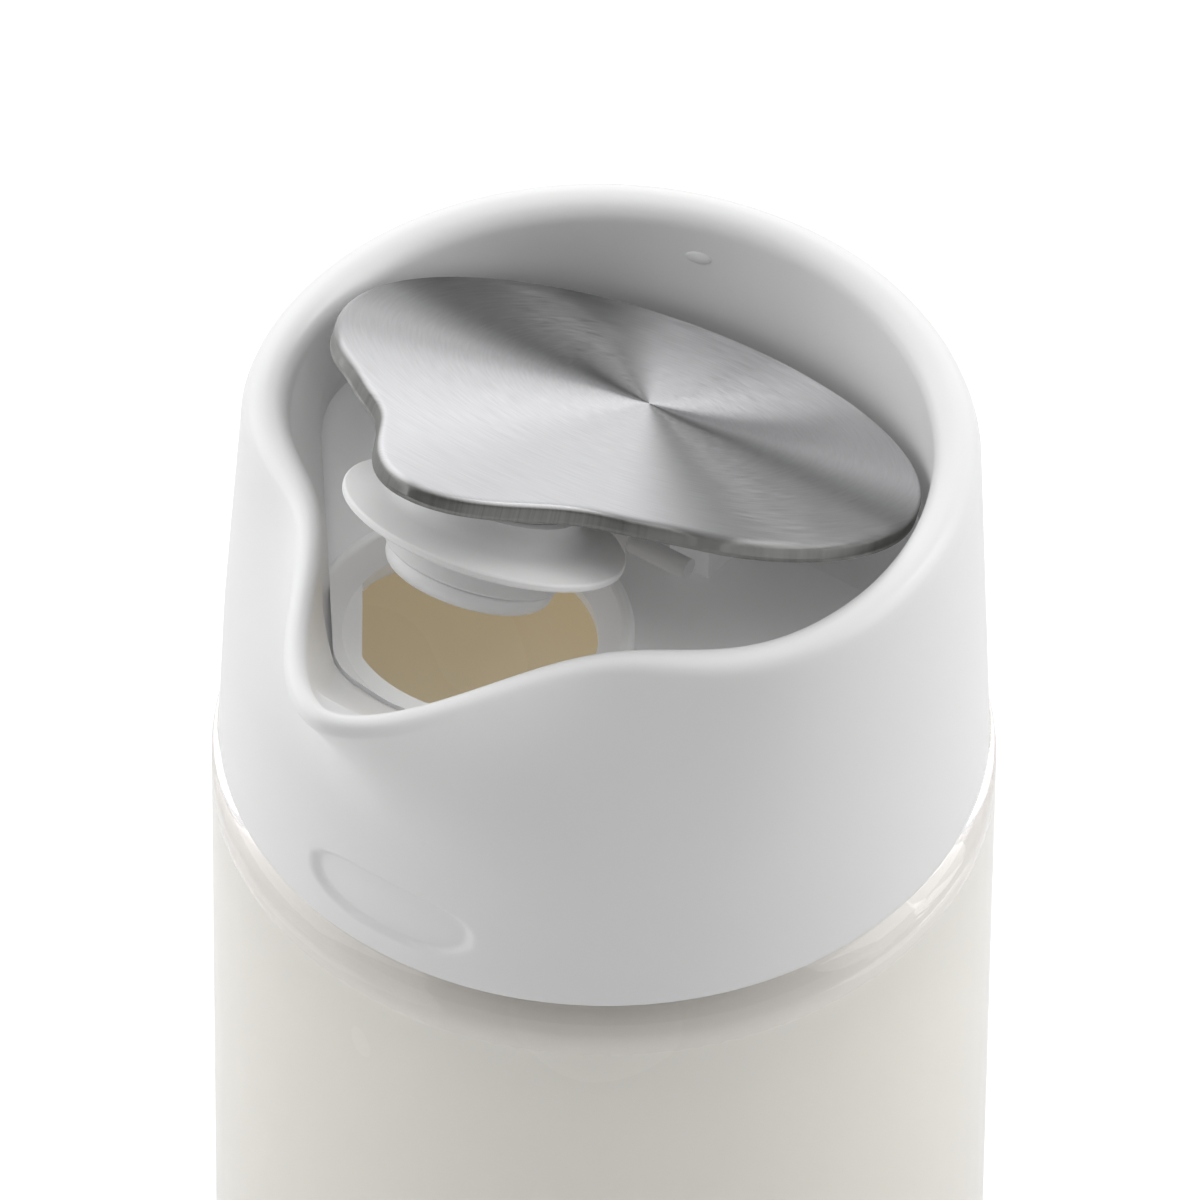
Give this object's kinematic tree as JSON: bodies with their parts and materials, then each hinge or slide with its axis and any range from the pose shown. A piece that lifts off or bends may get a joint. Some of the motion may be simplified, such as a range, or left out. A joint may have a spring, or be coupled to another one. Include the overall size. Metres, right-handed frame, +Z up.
{
  "type": "glass creamer",
  "caption": "Straight glass creamer with a white screw-on pouring head, a V-shaped beak and a brushed steel flip lid with a soft plug, shown open",
  "frame": {"origin": "centre of the glass base, on the surface it stands on", "axes": "+Z up along the body's axis, -Y towards the pouring beak, +X along the lid's hinge pin to the pourer's right"},
  "size_m": [0.078, 0.0883, 0.1695],
  "materials": {
    "clear_glass": "clear, polished",
    "soft_silicone": "soft white silicone",
    "white_gloss_moulding": "moulded, gloss",
    "white_satin_moulding": "moulded, satin gloss",
    "white_lid_moulding": "moulded, satin",
    "pin_steel": "turned steel",
    "brushed_lid_steel": "round-brushed, satin"
  },
  "bodies": {
    "bottle": {"glass_bottle": "clear_glass"},
    "gasket": {"neck_gasket": "soft_silicone"},
    "head": {"pour_head_shell": "white_gloss_moulding", "pour_insert": "white_satin_moulding", "hinge_pin": "pin_steel"},
    "lid": {"lid_plate": "brushed_lid_steel", "lid_carrier": "white_lid_moulding", "plug_seal": "soft_silicone", "plug_retainer": "white_lid_moulding", "seal_screw": "pin_steel"}
  },
  "joints": [
    {"name": "head_lift", "type": "slide", "parent": "bottle", "child": "gasket", "axis": [0, 0, 1], "range_m": [0, 0.006]},
    {"name": "head_twist", "type": "hinge", "parent": "gasket", "child": "head", "pos_m": [0, 0, 0.107], "axis": [0, 0, 1], "range_deg": [0, 450]},
    {"name": "lid_hinge", "type": "hinge", "parent": "head", "child": "lid", "pos_m": [0, 0.0019, 0.143], "axis": [1, 0, 0], "range_deg": [0, 27]}
  ],
  "couplings": [
    {"joint": "head_lift", "follows": "head_twist", "m_per_rad": 0.00063662}
  ]
}
